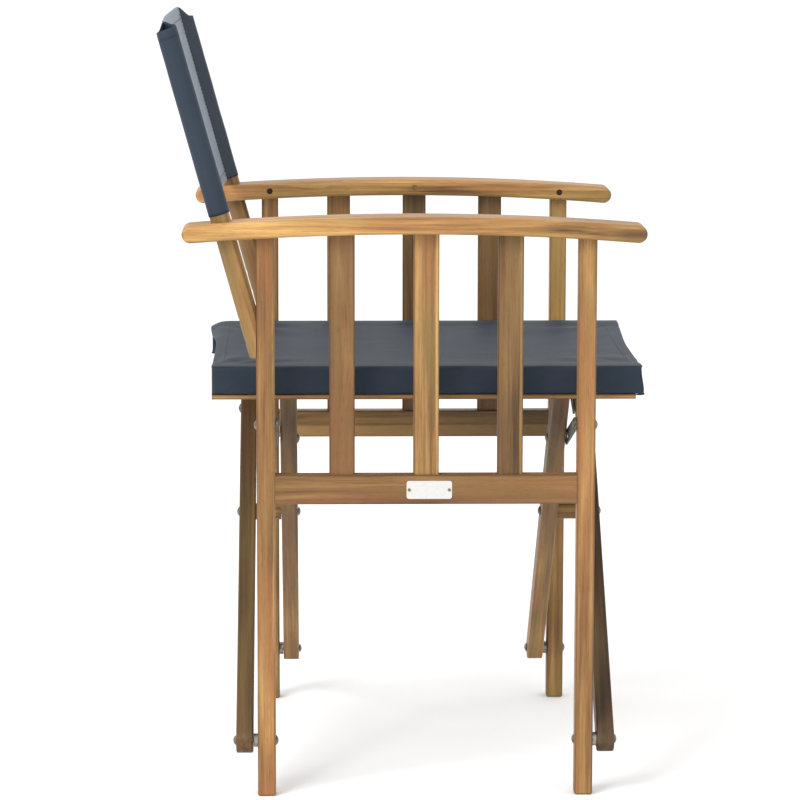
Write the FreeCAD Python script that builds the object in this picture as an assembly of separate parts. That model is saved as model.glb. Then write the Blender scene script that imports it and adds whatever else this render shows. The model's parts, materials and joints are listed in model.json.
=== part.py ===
import FreeCAD, Part
import math
import os

# Folding director chair: two hardwood side frames joined by two pairs of crossed bars, with a cloth
# sling for the seat and another for the back. Millimetres. X points forward, Y to the sitter's left
# and Z up. Everything is drawn with X = 0 midway between the legs, and saved with the origin on the
# floor under the middle of the whole chair.

V = FreeCAD.Vector

# --- side frames ---
frame_spacing = 470.0        # middle of one side frame to the middle of the other, chair open
leg_spacing = 352.0          # rear leg to front leg, middle to middle
leg_thick = 20.0             # leg along X
leg_wide = 22.0              # leg along Y
leg_edge = 2.0
foot_edge = 1.8              # chamfer round the end of each leg
arm_crown = 647.0            # top of the armrest at its highest point
arm_thick = 19.0
arm_wide = 50.0
arm_rise = 9.5               # how far the arch drops from its crown to its ends
arm_behind = 90.0            # armrest past the middle of the rear leg
arm_ahead = 63.5             # armrest past the middle of the front leg
arm_edge = 4.0
side_rail_base = 329.0
side_rail_tall = 32.5
side_rail_thick = 20.0
slat_wide = 28.0
slat_thick = 13.0
slat_pitch = 92.3
slat_edge = 1.5
tenon_long = 9.0             # every tenon, into armrest, leg or rail
tenon_shoulder = 3.5         # wood left on each side of a tenon
fit_gap = 0.1                # tenon to mortise and fastener to hole, within one piece of the frame

# --- crossed bars ---
foot_pivot_height = 61.5
bar_thick = 19.0             # along X
bar_wide = 28.0              # across its length
bar_edge = 2.0
bar_leg_gap = 5.0            # from a leg to the bar beside it, filled by a spacer at the pivot
link_up_bar = 155.0          # from the centre pivot up the bar to the link's bolt
link_leg_height = 416.0      # of the link's pivot on the leg
fold_travel = 24.0           # degrees that each bar turns as the chair folds, until battens meet legs

# --- seat ---
seat_height = 474.0          # top of the seat rails
seat_rail_wide = 20.0
seat_rail_tall = 28.5
seat_rail_long = 470.0
seat_rail_edge = 3.0
seat_rail_middle_x = -1.0
rail_to_leg = 24.0           # from the cloth on a seat rail to the inner face of a leg
batten_tall = 5.0
seat_screw_bite = 8.0        # how far the screws through a seat rail go into a bar
rail_step = 2.0              # the bar's centre line passes this far inside the rail's inner face
cloth = 1.5
hem_tuck = 7.0               # how far the seat cloth goes in between rail and batten
seat_cloth_rear_x = -235.0
seat_cloth_front_x = 240.0
cloth_halves_gap = 1.5       # between the two halves that stand for one cloth

# --- back ---
pole_diameter = 22.0
pole_lean = 15.6             # degrees back from upright
pole_foot_height = 491.0
pole_foot_left = 7.2         # wood left behind the leg where the bevelled foot is cut off
pole_top_height = 840.0
pole_top_round = 4.0
sleeve_base_height = 648.0   # on the pole's centre line
back_cloth_tall = 213.0      # along the pole
sleeve_slack = 0.3
panel_behind = 2.0           # from the poles' centre lines back to the middle of the cloth between them

# --- fastenings ---
pivot_diameter = 6.0
pivot_head_diameter = 10.6
pivot_head_thick = 3.0
nut_deep = 1.5               # blind hole in a domed nut
running_gap = 0.08           # radial, for a pin that turns in a hole
side_gap = 0.4               # between faces that slide past each other
spacer_diameter = 15.0
centre_spacer_diameter = 19.0
link_wide = 16.0
link_thick = 2.0
link_head_thick = 0.7        # flat head that holds the link, clear of the bar beside it
screw_diameter = 4.0
screw_head_diameter = 6.6
screw_head_thick = 2.6
recess_diameter = 7.2
recess_deep = 5.0
batten_screw_diameter = 3.0
batten_screw_head = 6.0
label_long = 50.0
label_tall = 20.0
label_thick = 0.8
label_x = 3.5
label_corner = 3.0
label_pin_diameter = 2.0
label_pin_head = 3.4

# --- worked out from the sizes above ---
half = frame_spacing / 2
leg_x = leg_spacing / 2
arm_rear_x = -leg_x - arm_behind
arm_front_x = leg_x + arm_ahead
arm_middle_x = (arm_rear_x + arm_front_x) / 2
arm_half = (arm_front_x - arm_rear_x) / 2
arch_half = arm_half - arm_thick / 2
arch_radius = (arch_half ** 2 + arm_rise ** 2) / (2 * arm_rise)
arm_under = arm_crown - arm_thick

outer_bar_x = leg_x + leg_thick / 2 + bar_leg_gap + bar_thick / 2
inner_bar_x = leg_x - leg_thick / 2 - bar_leg_gap - bar_thick / 2

rail_outer_y = half - leg_wide / 2 - rail_to_leg - cloth
rail_inner_y = rail_outer_y - seat_rail_wide
rail_base = seat_height - seat_rail_tall
batten_top = rail_base - cloth
batten_base = batten_top - batten_tall
bar_meets_y = rail_inner_y - rail_step
bar_angle = math.atan2(half + bar_meets_y, batten_base - foot_pivot_height)   # from upright
centre_pivot_height = foot_pivot_height + half / math.tan(bar_angle)
link_bar_y = link_up_bar * math.sin(bar_angle)
link_bar_height = centre_pivot_height + link_up_bar * math.cos(bar_angle)

fold_angle = math.radians(fold_travel)
bar_lower = half / math.sin(bar_angle)


def link_reach(turned):
    """From the link's pivot on the leg to its bolt on the bar, once the bars have turned this far."""
    angle = bar_angle - turned
    return math.hypot((bar_lower - link_up_bar) * math.sin(angle),
                      foot_pivot_height + (bar_lower + link_up_bar) * math.cos(angle) - link_leg_height)


# the bar's bolt slides in the link's slot as the chair folds
link_reaches = [link_reach(fold_angle * n / 24) for n in range(25)]
slot_near, slot_far = min(link_reaches), max(link_reaches)

lean = math.radians(pole_lean)
pole_radius = pole_diameter / 2
rear_leg_back_x = -leg_x - leg_thick / 2
pole_foot_x = rear_leg_back_x - pole_foot_left + pole_radius / math.cos(lean)
sleeve_inner = pole_radius + sleeve_slack
sleeve_outer = sleeve_inner + cloth


def pole_x(height):
    """Where a pole's centre line stands at a height."""
    return pole_foot_x - (height - pole_foot_height) * math.tan(lean)


sleeve_top_height = sleeve_base_height + back_cloth_tall * math.cos(lean)
rear_most_x = pole_x(sleeve_top_height) - sleeve_outer * math.cos(lean)
front_most_x = max(arm_front_x, seat_cloth_front_x)
origin_x = (rear_most_x + front_most_x) / 2
label_height = side_rail_base + side_rail_tall / 2
label_pin_places = (label_x - label_long / 2 + label_corner, label_x + label_long / 2 - label_corner)


# --- shapes that are used more than once ---

def block(x, y, z, dx, dy, dz):
    """A block with its middle at x, y and its base at z."""
    return Part.makeBox(dx, dy, dz, V(x - dx / 2, y - dy / 2, z))


def rod_x(x_from, x_to, y, z, diameter):
    """A round rod along X."""
    return Part.makeCylinder(diameter / 2, x_to - x_from, V(x_from, y, z), V(1, 0, 0))


def rod(start, direction, length, diameter):
    """A round rod from a point along a direction."""
    return Part.makeCylinder(diameter / 2, length, start, direction)


def round_edges(shape, radius, along):
    """Round the straight edges that run along a direction."""
    edges = [e for e in shape.Edges if len(e.Vertexes) == 2
             and e.Curve.TypeId == "Part::GeomLine"
             and abs(abs((e.Vertexes[1].Point - e.Vertexes[0].Point).normalize().dot(along)) - 1) < 1e-6]
    return shape.makeFillet(radius, edges)


def domed_head(face_x, outward, y, z):
    """A pivot bolt's low round head: it stands on the plane face_x and points outward along X."""
    rise, radius = pivot_head_thick * 3 / 4, pivot_head_diameter / 2
    ball = (radius ** 2 + rise ** 2) / (2 * rise)
    half_way = math.asin(radius / ball) / 2

    def at(along, out):
        return V(face_x + outward * along, y, z + out)

    middle = at(pivot_head_thick - ball + ball * math.cos(half_way), ball * math.sin(half_way))
    low, brim = at(0, 0), at(0, radius)
    rim, top = at(pivot_head_thick - rise, radius), at(pivot_head_thick, 0)
    outline = [Part.LineSegment(low, brim), Part.LineSegment(brim, rim), Part.Arc(rim, middle, top),
               Part.LineSegment(top, low)]
    head = Part.Face(Part.Wire([edge.toShape() for edge in outline])).revolve(low, V(1, 0, 0), 360)
    return head if head.Volume > 0 else head.reversed()


def domed_nut(face_x, outward, y, z):
    """A round nut on the plane face_x, with a blind hole for the bolt's end."""
    start = V(face_x - outward, y, z)
    hole = rod(start, V(outward, 0, 0), 1 + nut_deep, pivot_diameter + fit_gap)
    return domed_head(face_x, outward, y, z).cut(hole)


def flange(x_from, x_to, y, z, outside, inside):
    """A washer or spacer along X."""
    return rod_x(x_from, x_to, y, z, outside).cut(rod_x(x_from - 1, x_to + 1, y, z, inside))


def save(name, *solids):
    """Write one node, moved from the legs' middle to the chair's origin."""
    if not all(solid.Solids and solid.Volume > 0 for solid in solids):
        raise ValueError(name + " lost a solid")
    shape = solids[0] if len(solids) == 1 else Part.makeCompound(list(solids))
    shape = shape.copy()
    shape.translate(V(-origin_x, 0, 0))
    shape.exportStep("parts/" + name + ".step")


# --- armrests and what stands under them ---

def arch_height(x, surface):
    """Height of the armrest's arched top or underside at x; surface is its height at the crown."""
    return surface - (x - arm_middle_x) ** 2 / (2 * arch_radius)


def arm_profile_end(x_end, outward):
    """The round nose at one end of the armrest: its top, tip and bottom points."""
    x = x_end - outward * arm_thick / 2
    top = V(x, 0, arm_crown - arm_rise)
    return top, top + V(outward * arm_thick / 2, 0, -arm_thick / 2), top + V(0, 0, -arm_thick)


def armrest_blank(y):
    rear_top, rear_tip, rear_bottom = arm_profile_end(arm_rear_x, -1)
    front_top, front_tip, front_bottom = arm_profile_end(arm_front_x, 1)
    crown = V(arm_middle_x, 0, arm_crown)
    edges = [Part.Arc(rear_top, crown, front_top).toShape(),
             Part.Arc(front_top, front_tip, front_bottom).toShape(),
             Part.Arc(front_bottom, crown + V(0, 0, -arm_thick), rear_bottom).toShape(),
             Part.Arc(rear_bottom, rear_tip, rear_top).toShape()]
    solid = Part.Face(Part.Wire(edges)).extrude(V(0, arm_wide, 0))
    solid.translate(V(0, -arm_wide / 2, 0))
    rims = [e for e in solid.Edges if abs(abs(e.CenterOfMass.y) - arm_wide / 2) < 1e-6]
    solid = solid.makeFillet(arm_edge, rims)
    solid.translate(V(0, y, 0))
    return solid


def under_the_arm(y):
    """All the space below the armrest's underside, for trimming legs and slats to the arch."""
    left, right = arm_middle_x - arch_half, arm_middle_x + arch_half
    rear, front = V(left, 0, arm_under - arm_rise), V(right, 0, arm_under - arm_rise)
    edges = [Part.Arc(rear, V(arm_middle_x, 0, arm_under), front).toShape(),
             Part.LineSegment(front, V(right, 0, -1)).toShape(),
             Part.LineSegment(V(right, 0, -1), V(left, 0, -1)).toShape(),
             Part.LineSegment(V(left, 0, -1), rear).toShape()]
    space = Part.Face(Part.Wire(edges)).extrude(V(0, arm_wide, 0))
    space.translate(V(0, y - arm_wide / 2, 0))
    return space


def arm_tenon(x, y, wide, thick, gap):
    """The tenon, or with a gap its mortise, that stands up into the armrest at x."""
    base = arch_height(x, arm_under) - 2
    return block(x, y, base, wide - 2 * tenon_shoulder + 2 * gap, thick - 2 * tenon_shoulder + 2 * gap,
                 tenon_long + 2 + gap)


def rail_tenon(end, y, gap):
    """The side rail's tenon into the leg at one end (-1 rear, 1 front)."""
    long = tenon_long + gap
    x = end * (leg_x - leg_thick / 2 + long / 2)
    return block(x, y, side_rail_base + tenon_shoulder - gap, long,
                 side_rail_thick - 2 * tenon_shoulder + 2 * gap,
                 side_rail_tall - 2 * tenon_shoulder + 2 * gap)


def slat_foot_tenon(x, y, gap):
    return block(x, y, side_rail_base + side_rail_tall - tenon_long - gap,
                 slat_wide - 2 * tenon_shoulder + 2 * gap, slat_thick - 2 * tenon_shoulder + 2 * gap,
                 tenon_long + gap)


def arm_screw_at(x, side):
    """The place on the armrest's inner face where a screw goes in at x."""
    return V(x, side * (half - arm_wide / 2), arch_height(x, arm_under) + arm_thick / 2)


slat_places = {"rear": -slat_pitch, "middle": 0.0, "front": slat_pitch}
leg_places = {"rear": -leg_x, "front": leg_x}
pole_screw_heights = (pole_foot_height + 17, pole_foot_height + 41)


def pole_solid(y, diameter, from_height, to_height):
    """A leaning round rod on a pole's centre line."""
    start = V(pole_x(from_height), y, from_height)
    end = V(pole_x(to_height), y, to_height)
    return rod(start, end - start, (end - start).Length, diameter)


def pole_screw_head_x(height):
    """The bottom of the recess that a pole screw's head sits in."""
    return pole_x(height) - pole_radius / math.cos(lean) + recess_deep - 1


def screw_along(start, direction, length):
    """A screw with its head's outer face at start."""
    head = rod(start, direction, screw_head_thick, screw_head_diameter)
    return head.fuse(rod(start, direction, length, screw_diameter)).removeSplitter()


def side_frame(side, name, bar_x, toward_bar):
    """One side frame. side is -1 right, 1 left; its pivots hold the bars at bar_x, which lie on the
    side of the legs that toward_bar gives (1 away from the middle of the chair, -1 towards it)."""
    y = side * half
    inward = V(0, side, 0)
    trim = under_the_arm(y)
    arm = armrest_blank(y)
    rail = block(0, y, side_rail_base, leg_spacing - leg_thick, side_rail_thick, side_rail_tall)
    rail = round_edges(rail, leg_edge, V(1, 0, 0))
    arm_screws = []
    foot_bolts, foot_nuts, foot_spacers, link_bolts = [], [], [], []

    for place, x in leg_places.items():
        out = 1 if x > 0 else -1
        face = out * toward_bar                       # the way along X from the leg to its bar
        leg = block(x, y, 0, leg_thick, leg_wide, arm_crown)
        leg = round_edges(leg, leg_edge, V(0, 0, 1))
        leg = leg.makeChamfer(foot_edge, [e for e in leg.Edges if e.BoundBox.ZMax < leg_edge / 2])
        leg = leg.common(trim)
        leg = leg.fuse(arm_tenon(x, y, leg_thick, leg_wide, 0))
        leg = leg.cut(rail_tenon(out, y, fit_gap))
        leg = leg.cut(rod_x(x - leg_thick, x + leg_thick, y, foot_pivot_height, pivot_diameter + fit_gap))
        leg = leg.cut(rod_x(x - leg_thick, x + leg_thick, y, link_leg_height, pivot_diameter + fit_gap))
        arm = arm.cut(arm_tenon(x, y, leg_thick, leg_wide, fit_gap))
        rail = rail.fuse(rail_tenon(out, y, 0))

        screw_from = arm_screw_at(x, side)
        deep = arm_wide / 2 + leg_wide / 2 - tenon_shoulder - fit_gap
        hole = rod(screw_from - inward, inward, deep + 1, screw_diameter + fit_gap)
        arm = arm.cut(hole).cut(rod(screw_from - inward, inward, recess_deep + 1, recess_diameter))
        leg = leg.cut(hole)
        head_from = screw_from + inward * (recess_deep - screw_head_thick)
        arm_screws.append(screw_along(head_from, inward, deep - recess_deep))

        # foot pivot: the bolt is held by the leg and the bar turns on it
        leg_face = x + face * leg_thick / 2
        far_face = x - face * leg_thick / 2
        spacer_to = leg_face + face * (bar_leg_gap - side_gap)
        foot_spacers.append(flange(*sorted((leg_face, spacer_to)), y, foot_pivot_height,
                                   spacer_diameter, pivot_diameter + fit_gap))
        head_face = out * bar_x + face * (bar_thick / 2 + side_gap)
        bolt_end = far_face - face * (nut_deep - fit_gap)
        shank = rod_x(*sorted((head_face, bolt_end)), y, foot_pivot_height, pivot_diameter)
        foot_bolts.append(domed_head(head_face, face, y, foot_pivot_height).fuse(shank))
        foot_nuts.append(domed_nut(far_face, -face, y, foot_pivot_height))

        # link pivot: the link lies against the other bar's side of the leg
        link_x = x - face * (leg_thick / 2 + bar_leg_gap / 2)
        washer_to = link_x + face * (link_thick / 2 + side_gap)
        link_bolts.append(flange(*sorted((far_face, washer_to)), y, link_leg_height,
                                 pivot_head_diameter, pivot_diameter + fit_gap))
        head_face = link_x - face * (link_thick / 2 + side_gap)
        bolt_end = leg_face + face * (nut_deep - fit_gap)
        shank = rod_x(*sorted((head_face, bolt_end)), y, link_leg_height, pivot_diameter)
        link_bolts.append(rod_x(*sorted((head_face, head_face - face * link_head_thick)), y,
                                link_leg_height, pivot_head_diameter).fuse(shank))
        link_bolts.append(domed_nut(leg_face, face, y, link_leg_height))

        if place == "rear":
            for height in pole_screw_heights:
                leg = leg.cut(rod_x(rear_leg_back_x - 1, x + leg_thick / 4, y, height,
                                    screw_diameter + fit_gap))
        save(place + "_leg_" + name, leg.removeSplitter())

    for place, x in slat_places.items():
        base = side_rail_base + side_rail_tall
        slat = block(x, y, base, slat_wide, slat_thick, arm_crown - base)
        slat = round_edges(slat, slat_edge, V(0, 0, 1)).common(trim)
        slat = slat.fuse([arm_tenon(x, y, slat_wide, slat_thick, 0), slat_foot_tenon(x, y, 0)])
        arm = arm.cut(arm_tenon(x, y, slat_wide, slat_thick, fit_gap))
        rail = rail.cut(slat_foot_tenon(x, y, fit_gap))
        save("slat_" + place + "_" + name, slat.removeSplitter())

    plug_from = arm_screw_at(0, side)
    arm = arm.cut(rod(plug_from - inward, inward, recess_deep + 1, recess_diameter))
    save("arm_plug_" + name, rod(plug_from, inward, recess_deep - fit_gap, recess_diameter - 2 * fit_gap))

    hole = pole_solid(y, pole_diameter + 2 * sleeve_slack, arm_under - 3 * arm_rise, arm_crown + arm_rise)
    save("armrest_" + name, arm.cut(hole))
    save("arm_screws_" + name, *arm_screws)
    if side < 0:
        for pin_x in label_pin_places:
            rail = rail.cut(rod(V(pin_x, y - side_rail_thick / 2 - 1, label_height), V(0, 1, 0),
                                side_rail_thick / 3 + 1, label_pin_diameter + fit_gap))
    save("side_rail_" + name, rail.removeSplitter())
    save("foot_bolts_" + name, *foot_bolts)
    save("foot_nuts_" + name, *foot_nuts)
    save("foot_spacers_" + name, *foot_spacers)
    save("link_bolts_" + name, *link_bolts)


def back_pole(side, name):
    """A back pole: it leans through the armrest, and its bevelled foot lies on the rear leg."""
    y = side * half
    pole = pole_solid(y, pole_diameter, pole_foot_height - pole_diameter, pole_top_height)
    top = [e for e in pole.Edges if e.CenterOfMass.z > pole_top_height - 1 and len(e.Vertexes) == 1]
    pole = pole.makeFillet(pole_top_round, top)
    keep = Part.makeBox(leg_spacing, 2 * pole_diameter, arm_crown,
                        V(rear_leg_back_x - leg_spacing, y - pole_diameter, pole_foot_height))
    pole = pole.common(keep)
    screws = []
    for height in pole_screw_heights:
        seat_x = pole_screw_head_x(height)
        pole = pole.cut(rod_x(seat_x - pole_diameter, seat_x, y, height, recess_diameter))
        pole = pole.cut(rod_x(seat_x - 1, 0, y, height, screw_diameter + fit_gap))
        head_x = seat_x - screw_head_thick
        screws.append(screw_along(V(head_x, y, height), V(1, 0, 0), -leg_x - head_x))
    save("back_pole_" + name, pole)
    save("pole_screws_" + name, *screws)


# --- crossed bars ---

def bar(x, foot_side):
    """A bar from its foot pivot on one side up to the seat rail on the other, notched to fit it."""
    along = V(0, -foot_side * math.sin(bar_angle), math.cos(bar_angle))
    across = V(0, math.cos(bar_angle), foot_side * math.sin(bar_angle))
    foot = V(x - bar_thick / 2, foot_side * half, foot_pivot_height)
    w = bar_wide / 2
    far = along * ((batten_base - foot_pivot_height) / math.cos(bar_angle) + bar_wide)
    low, high = foot - across * w, foot + across * w
    edges = [Part.LineSegment(high, high + far).toShape(),
             Part.LineSegment(high + far, low + far).toShape(),
             Part.LineSegment(low + far, low).toShape(),
             Part.Arc(low, foot - along * w, high).toShape()]
    solid = Part.Face(Part.Wire(edges)).extrude(V(bar_thick, 0, 0))
    rims = [e for e in solid.Edges if abs(abs(e.CenterOfMass.x - x) - bar_thick / 2) < 1e-6]
    solid = solid.makeFillet(bar_edge, rims)

    rail_side = -foot_side
    reach = 4 * bar_wide
    notch = block(x, rail_side * (rail_inner_y + reach / 2), batten_base, 2 * bar_thick, reach, reach)
    beyond = block(x, rail_side * (rail_outer_y + reach / 2), batten_base - reach, 2 * bar_thick,
                   reach, 2 * reach)
    solid = solid.cut(notch).cut(beyond)

    # the bar turns on the foot bolt
    pivot = pivot_diameter + 2 * running_gap
    return solid.cut(rod_x(x - bar_thick, x + bar_thick, foot_side * half, foot_pivot_height, pivot))


def seat_screw_y():
    """Distance from the middle of the chair to the screws in a seat rail."""
    return rail_inner_y + (seat_rail_wide - hem_tuck) / 2


def bar_pair(name, bar_x, foot_side):
    """The front and rear bars that share a foot side, with the seat rail that they carry."""
    rail_side = -foot_side
    rail_name = "left" if rail_side > 0 else "right"
    rail_y = rail_side * (rail_inner_y + rail_outer_y) / 2
    rail = block(seat_rail_middle_x, rail_y, rail_base, seat_rail_long, seat_rail_wide, seat_rail_tall)
    rail = round_edges(rail, seat_rail_edge, V(1, 0, 0))
    batten = block(seat_rail_middle_x, rail_y, batten_base, seat_rail_long, seat_rail_wide, batten_tall)
    screw_y = rail_side * seat_screw_y()
    up = V(0, 0, 1)
    seat_screws, batten_screws, link_bolts = [], [], []
    outer = bar_x > leg_x

    for place, sign in (("rear", -1), ("front", 1)):
        x = sign * bar_x
        solid = bar(x, foot_side)
        bolt_hole = 2 * (running_gap if not outer else fit_gap / 2)
        solid = solid.cut(rod_x(x - bar_thick, x + bar_thick, 0, centre_pivot_height,
                                pivot_diameter + bolt_hole))
        link_y = rail_side * link_bar_y
        solid = solid.cut(rod_x(x - bar_thick, x + bar_thick, link_y, link_bar_height,
                                pivot_diameter + fit_gap))
        away = sign if outer else -sign               # the bar's face that looks away from the leg
        head_face = x + away * bar_thick / 2
        stop = x - away * bar_thick / 2
        link_bolts.append(domed_head(head_face, away, link_y, link_bar_height).fuse(
            rod_x(*sorted((head_face, stop)), link_y, link_bar_height, pivot_diameter)))

        # the screw goes down through rail and batten into the bar, and the cloth hides its head
        start = V(x, screw_y, seat_height - fit_gap)
        screw_long = start.z - batten_base + seat_screw_bite
        shank_hole = rod(start, -up, screw_long + fit_gap, screw_diameter + fit_gap)
        solid = solid.cut(shank_hole)
        rail = rail.cut(shank_hole)
        rail = rail.cut(rod(start + up, -up, 1 + screw_head_thick, screw_head_diameter + 2 * fit_gap))
        batten = batten.cut(shank_hole)
        seat_screws.append(screw_along(start, -up, screw_long))
        save(name + "_" + place + "_bar", solid)

    # the row of small screws that holds the batten and the cloth's hem between the bars
    span = 2 * (inner_bar_x - bar_thick)
    for n in range(4):
        x = -span / 2 + (n + 0.5) * span / 4
        start = V(x, screw_y, batten_base)
        head = Part.makeCone(batten_screw_head / 2, batten_screw_diameter / 2, batten_tall / 3, start, up)
        long = batten_tall + cloth + seat_rail_tall / 2
        screw = head.fuse(rod(start, up, long, batten_screw_diameter)).removeSplitter()
        batten = batten.cut(screw)
        rail = rail.cut(screw)
        batten_screws.append(screw)

    save("seat_rail_" + rail_name, rail)
    save("seat_batten_" + rail_name, batten)
    save("seat_screws_" + rail_name, *seat_screws)
    save("batten_screws_" + rail_name, *batten_screws)
    save("link_bar_bolts_" + rail_name, *link_bolts)


def centre_pivots():
    """Bolts and wooden spacers where the bars cross. The outer bars hold them, the inner bars turn."""
    bolts, nuts, spacers = [], [], []
    for sign in (-1, 1):
        outer_face = outer_bar_x + bar_thick / 2
        inner_face = inner_bar_x - bar_thick / 2 - side_gap
        bolt_end = inner_face - nut_deep + fit_gap
        shank = rod_x(*sorted((sign * bolt_end, sign * outer_face)), 0, centre_pivot_height,
                      pivot_diameter)
        bolts.append(domed_head(sign * outer_face, sign, 0, centre_pivot_height).fuse(shank))
        nuts.append(domed_nut(sign * inner_face, -sign, 0, centre_pivot_height))
        ends = sorted((sign * (inner_bar_x + bar_thick / 2 + side_gap), sign * (outer_bar_x - bar_thick / 2)))
        spacers.append(flange(*ends, 0, centre_pivot_height, centre_spacer_diameter,
                              pivot_diameter + fit_gap))
    save("centre_bolts", *bolts)
    save("centre_nuts", *nuts)
    save("centre_spacers", *spacers)


def flat_plate(start, end, wide):
    """A plate across X with round ends, round the line from start to end."""
    run = (end - start).normalize()
    across = V(0, -run.z, run.y) * (wide / 2)
    edges = [Part.LineSegment(start + across, end + across).toShape(),
             Part.Arc(end + across, end + run * (wide / 2), end - across).toShape(),
             Part.LineSegment(end - across, start - across).toShape(),
             Part.Arc(start - across, start - run * (wide / 2), start + across).toShape()]
    return Part.Face(Part.Wire(edges)).extrude(V(link_thick, 0, 0))


def link(name, x, side):
    """A flat steel link on the leg's upper pivot, with the slot that the bar's bolt slides in."""
    leg_end = V(x - link_thick / 2, side * half, link_leg_height)
    run = (V(leg_end.x, side * link_bar_y, link_bar_height) - leg_end).normalize()
    near, far = leg_end + run * slot_near, leg_end + run * slot_far
    hole = pivot_diameter + 2 * running_gap
    solid = flat_plate(leg_end, far, link_wide).cut(flat_plate(near, far, hole))
    save(name, solid.cut(rod(leg_end - V(1, 0, 0), V(1, 0, 0), link_thick + 2, hole)))


# --- cloth, as two halves each: one half goes with each side of the folding frame ---

def seat_cloth(side, name):
    """Half of the seat: flat over the rail, down its outer face and in under it."""
    outside = rail_outer_y + cloth
    tuck = rail_outer_y - hem_tuck
    top = seat_height + cloth
    corners = [(cloth_halves_gap / 2, top), (outside, top), (outside, batten_top), (tuck, batten_top),
               (tuck, rail_base), (rail_outer_y, rail_base), (rail_outer_y, seat_height),
               (cloth_halves_gap / 2, seat_height)]
    points = [V(seat_cloth_rear_x, side * y, z) for y, z in corners]
    solid = Part.Face(Part.makePolygon(points + points[:1])).extrude(
        V(seat_cloth_front_x - seat_cloth_rear_x, 0, 0))

    def corner_edges(y, z):
        return [e for e in solid.Edges
                if abs(e.CenterOfMass.y - side * y) < 1e-6 and abs(e.CenterOfMass.z - z) < 1e-6
                and e.Length > seat_rail_wide]

    solid = solid.makeFillet(seat_rail_edge, corner_edges(rail_outer_y, seat_height))
    solid = solid.makeFillet(seat_rail_edge + cloth, corner_edges(outside, top))
    solid = solid.makeFillet(seat_rail_edge, corner_edges(rail_outer_y, rail_base))
    save("seat_sling_" + name, solid)


def back_cloth(side, name):
    """Half of the back: a sleeve round the pole, and half of the panel between the poles."""
    tall = back_cloth_tall
    sleeve = Part.makeCylinder(sleeve_outer, tall)
    inside = Part.makeCylinder(sleeve_inner, tall + 2, V(0, 0, -1))
    panel_wide = half - cloth_halves_gap / 2
    panel = Part.makeBox(cloth, panel_wide, tall,
                         V(-panel_behind - cloth / 2, 0 if side < 0 else -panel_wide, 0))
    solid = sleeve.fuse(panel).cut(inside)
    solid.rotate(V(0, 0, 0), V(0, 1, 0), -pole_lean)
    solid.translate(V(pole_x(sleeve_base_height), side * half, sleeve_base_height))
    save("back_sling_" + name, solid)


def label():
    """A blank metal plate on the outer face of the right side rail, with a pin at each end."""
    face_y = -half - side_rail_thick / 2
    plate = block(label_x, face_y - label_thick / 2, label_height - label_tall / 2, label_long, label_thick,
                  label_tall)
    plate = round_edges(plate, label_corner, V(0, 1, 0))
    pins = []
    for pin_x in label_pin_places:
        start = V(pin_x, face_y - label_thick, label_height)
        plate = plate.cut(rod(start - V(0, 1, 0), V(0, 1, 0), 3, label_pin_diameter + fit_gap))
        head = rod(start - V(0, label_thick, 0), V(0, 1, 0), label_thick, label_pin_head)
        pins.append(head.fuse(rod(start, V(0, 1, 0), side_rail_thick / 3, label_pin_diameter)))
    save("label_plate", plate)
    save("label_pins", *pins)


os.makedirs("parts", exist_ok=True)
side_frame(-1, "right", outer_bar_x, 1)
side_frame(1, "left", inner_bar_x, -1)
for side, name in ((-1, "right"), (1, "left")):
    back_pole(side, name)
    seat_cloth(side, name)
    back_cloth(side, name)
    link_x = leg_x + side * (leg_thick / 2 + bar_leg_gap / 2)
    link("front_link_" + name, link_x, side)
    link("rear_link_" + name, -link_x, side)
bar_pair("outer", outer_bar_x, -1)
bar_pair("inner", inner_bar_x, 1)
centre_pivots()
label()
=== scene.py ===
"""A folding director chair: oiled acacia, dark steel pivots, a woven sling seat and a sewn sling back."""

import json
import math
import random

import bmesh
import bpy
from mathutils import Matrix, Vector, noise
from mathutils.bvhtree import BVHTree


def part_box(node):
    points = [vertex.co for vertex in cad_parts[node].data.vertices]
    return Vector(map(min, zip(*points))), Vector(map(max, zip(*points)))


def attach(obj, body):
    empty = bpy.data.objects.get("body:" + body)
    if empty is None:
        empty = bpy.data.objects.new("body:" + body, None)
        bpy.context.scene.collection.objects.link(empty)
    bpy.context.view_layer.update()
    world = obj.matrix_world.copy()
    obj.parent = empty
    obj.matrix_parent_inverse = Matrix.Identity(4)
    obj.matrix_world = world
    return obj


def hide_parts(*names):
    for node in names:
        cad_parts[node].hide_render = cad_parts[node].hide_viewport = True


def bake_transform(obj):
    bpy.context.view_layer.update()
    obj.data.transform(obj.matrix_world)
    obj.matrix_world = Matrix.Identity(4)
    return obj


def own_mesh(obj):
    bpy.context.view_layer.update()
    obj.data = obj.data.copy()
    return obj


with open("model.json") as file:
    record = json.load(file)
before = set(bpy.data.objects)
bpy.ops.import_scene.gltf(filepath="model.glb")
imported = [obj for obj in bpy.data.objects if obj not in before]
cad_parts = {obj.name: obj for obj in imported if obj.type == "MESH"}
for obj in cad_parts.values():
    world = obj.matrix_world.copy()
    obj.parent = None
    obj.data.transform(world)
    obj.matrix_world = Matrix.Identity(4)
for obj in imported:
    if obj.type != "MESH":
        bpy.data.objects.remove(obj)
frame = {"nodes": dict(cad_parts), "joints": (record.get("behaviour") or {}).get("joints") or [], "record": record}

bl_info = {
    "name": "Director chair",
    "version": (1, 0, 0),
    "blender": (4, 5, 0),
    "location": "View3D > Sidebar > Chair",
    "description": "Finishes a folding director chair: wood, steel, seat and back slings, stage",
    "category": "Object",
}

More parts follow.
